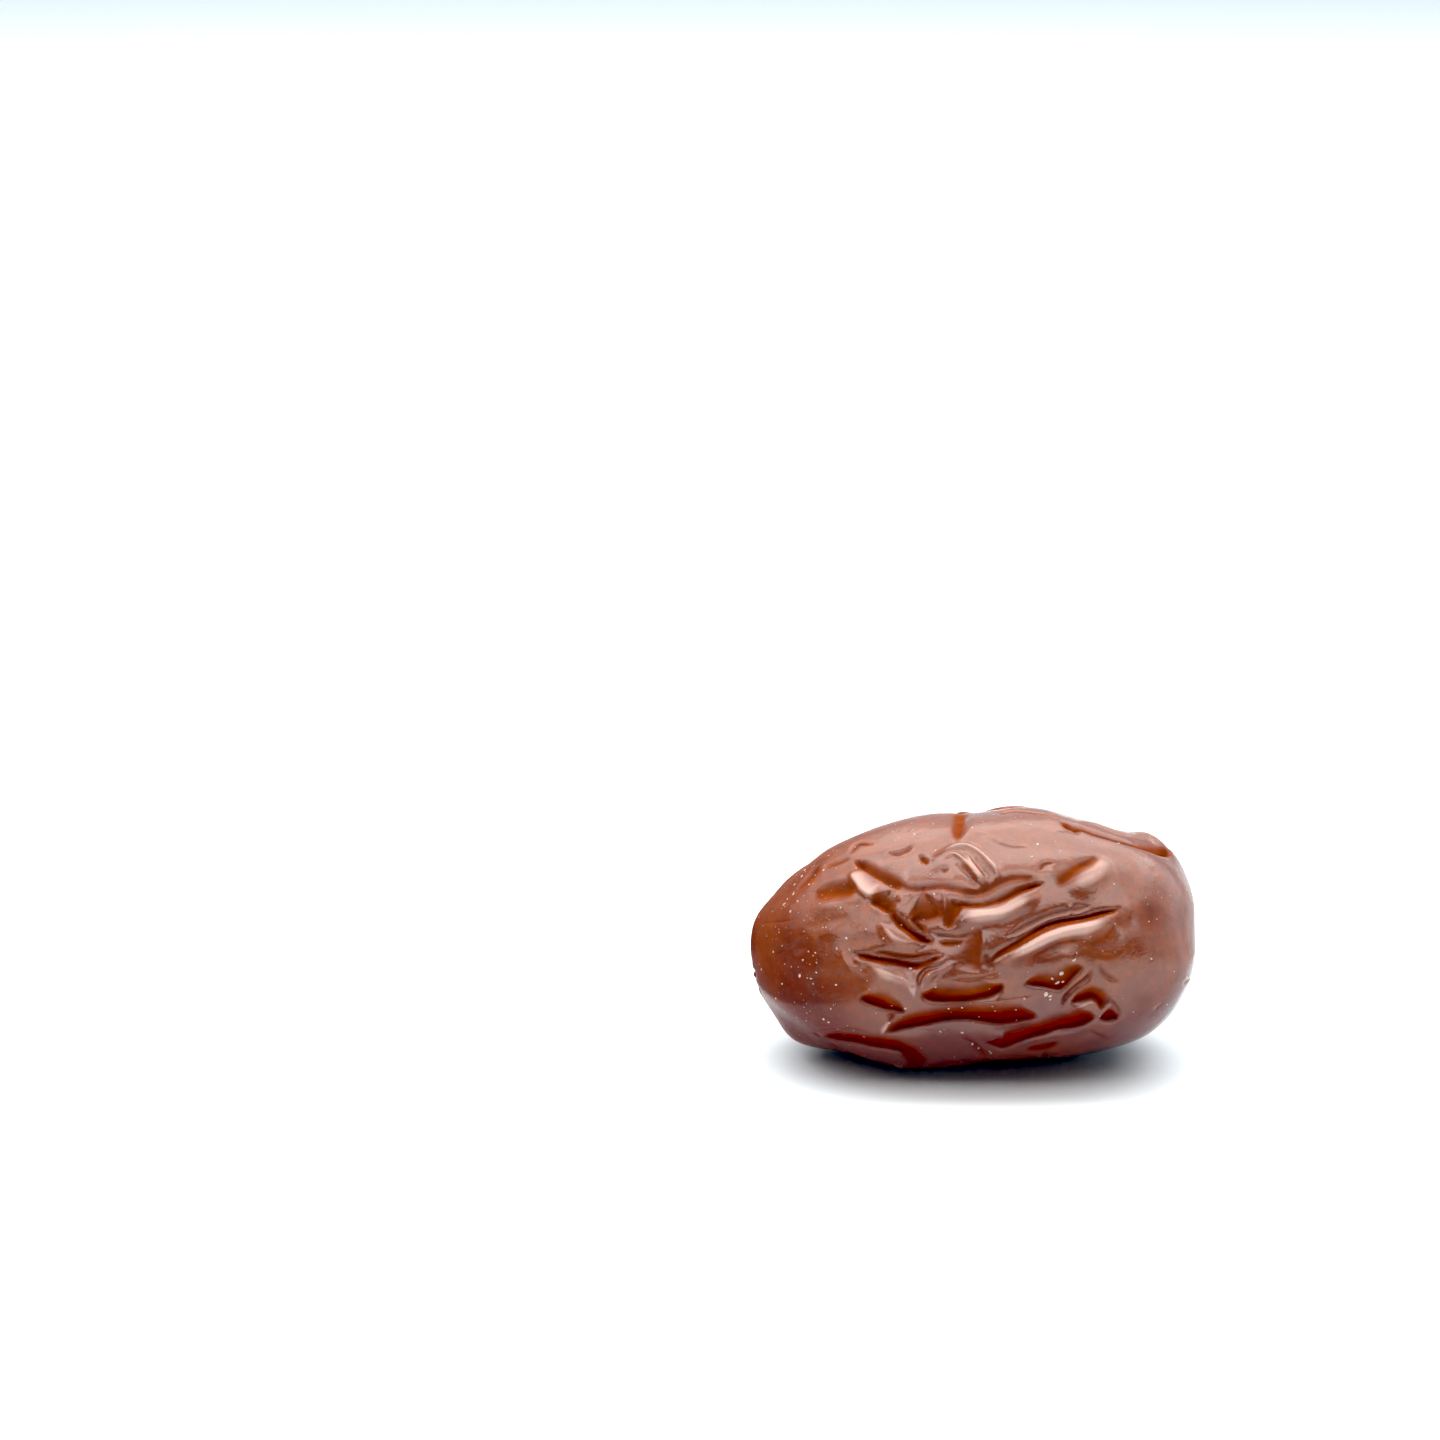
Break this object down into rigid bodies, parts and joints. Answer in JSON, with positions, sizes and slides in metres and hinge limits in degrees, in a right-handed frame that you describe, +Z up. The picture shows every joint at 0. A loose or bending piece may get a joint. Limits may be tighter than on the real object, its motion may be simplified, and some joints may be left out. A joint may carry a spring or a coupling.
{
  "type": "dried jujube fruit",
  "caption": "Whole dried jujube: an oblong fruit with a wrinkled glossy skin, a stem scar in a small hollow at one end, and a flat spot to rest on.",
  "frame": {"origin": "centre of the fruit's box, on the surface it rests on", "axes": "+X along the fruit from the stem end to the tip, +Z up"},
  "size_m": [0.0428, 0.0252, 0.0243],
  "materials": {
    "skin": "glossy wrinkled dried skin, red-brown with darker folds"
  },
  "bodies": {
    "root": {"jujube_fruit": "skin"}
  },
  "joints": []
}
